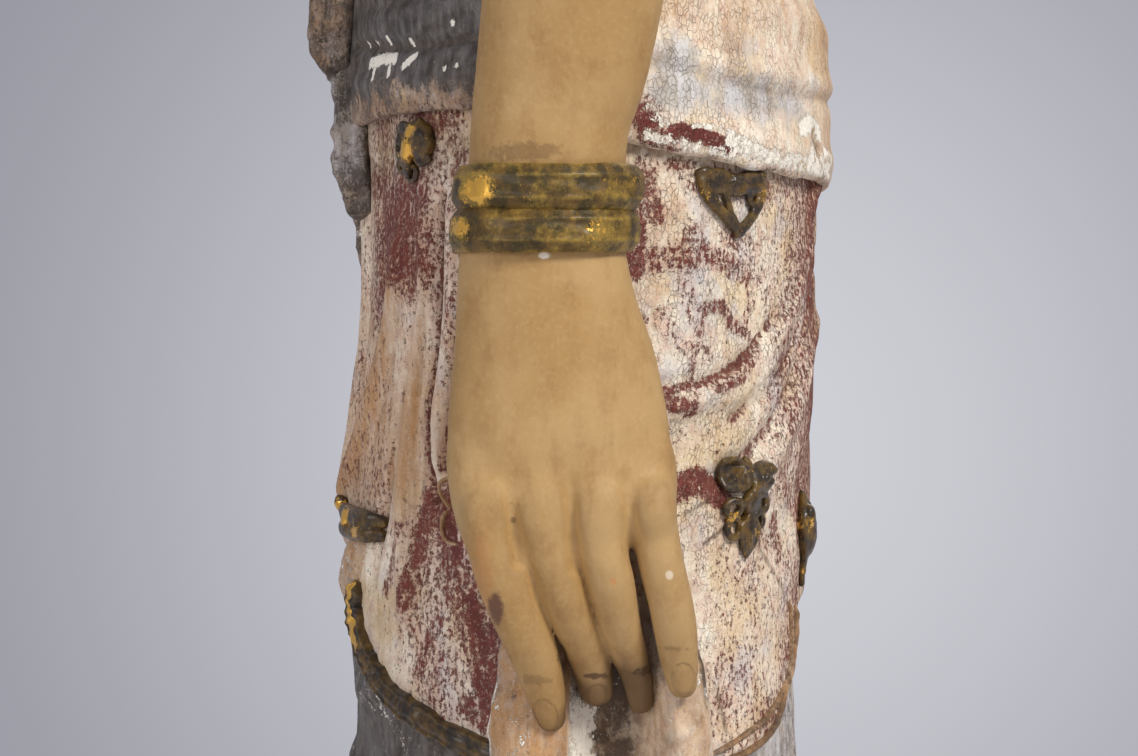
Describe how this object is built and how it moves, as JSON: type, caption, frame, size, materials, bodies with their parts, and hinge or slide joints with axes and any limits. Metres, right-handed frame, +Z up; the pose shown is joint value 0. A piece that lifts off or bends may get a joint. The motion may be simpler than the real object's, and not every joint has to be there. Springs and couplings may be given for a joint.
{
  "type": "standing bodhisattva statue",
  "caption": "Carved and painted wooden standing figure in draped skirts, one arm hanging with a scarf in the hand and the other raised, on a low lotus plinth.",
  "frame": {"origin": "centre of the plinth's flat underside", "axes": "+Z up along the figure, -Y the way the figure faces, +X its left side, where the hanging arm is"},
  "size_m": [0.35, 0.3, 1.146],
  "materials": {
    "painted_wood": "old pigment over gesso on carved wood, worn, crackled and matt",
    "plinth_lacquer": "worn red-brown lacquer with rubbed gilding",
    "gilt_paste": "moulded paste with dark, rubbed gilding"
  },
  "bodies": {
    "root": {"figure": "painted_wood", "plinth": "plinth_lacquer", "hem_band_left": "gilt_paste", "hem_band_right": "gilt_paste", "flower_boss_left_front": "gilt_paste", "tassel_boss_left_back": "gilt_paste", "flower_boss_left_back": "gilt_paste", "leaf_boss_left_back": "gilt_paste", "clasp_left_front": "gilt_paste", "flower_boss_right_front": "gilt_paste", "tassel_boss_right_back": "gilt_paste", "flower_boss_right_back": "gilt_paste", "leaf_boss_right_back": "gilt_paste", "clasp_right_front": "gilt_paste"}
  },
  "joints": []
}
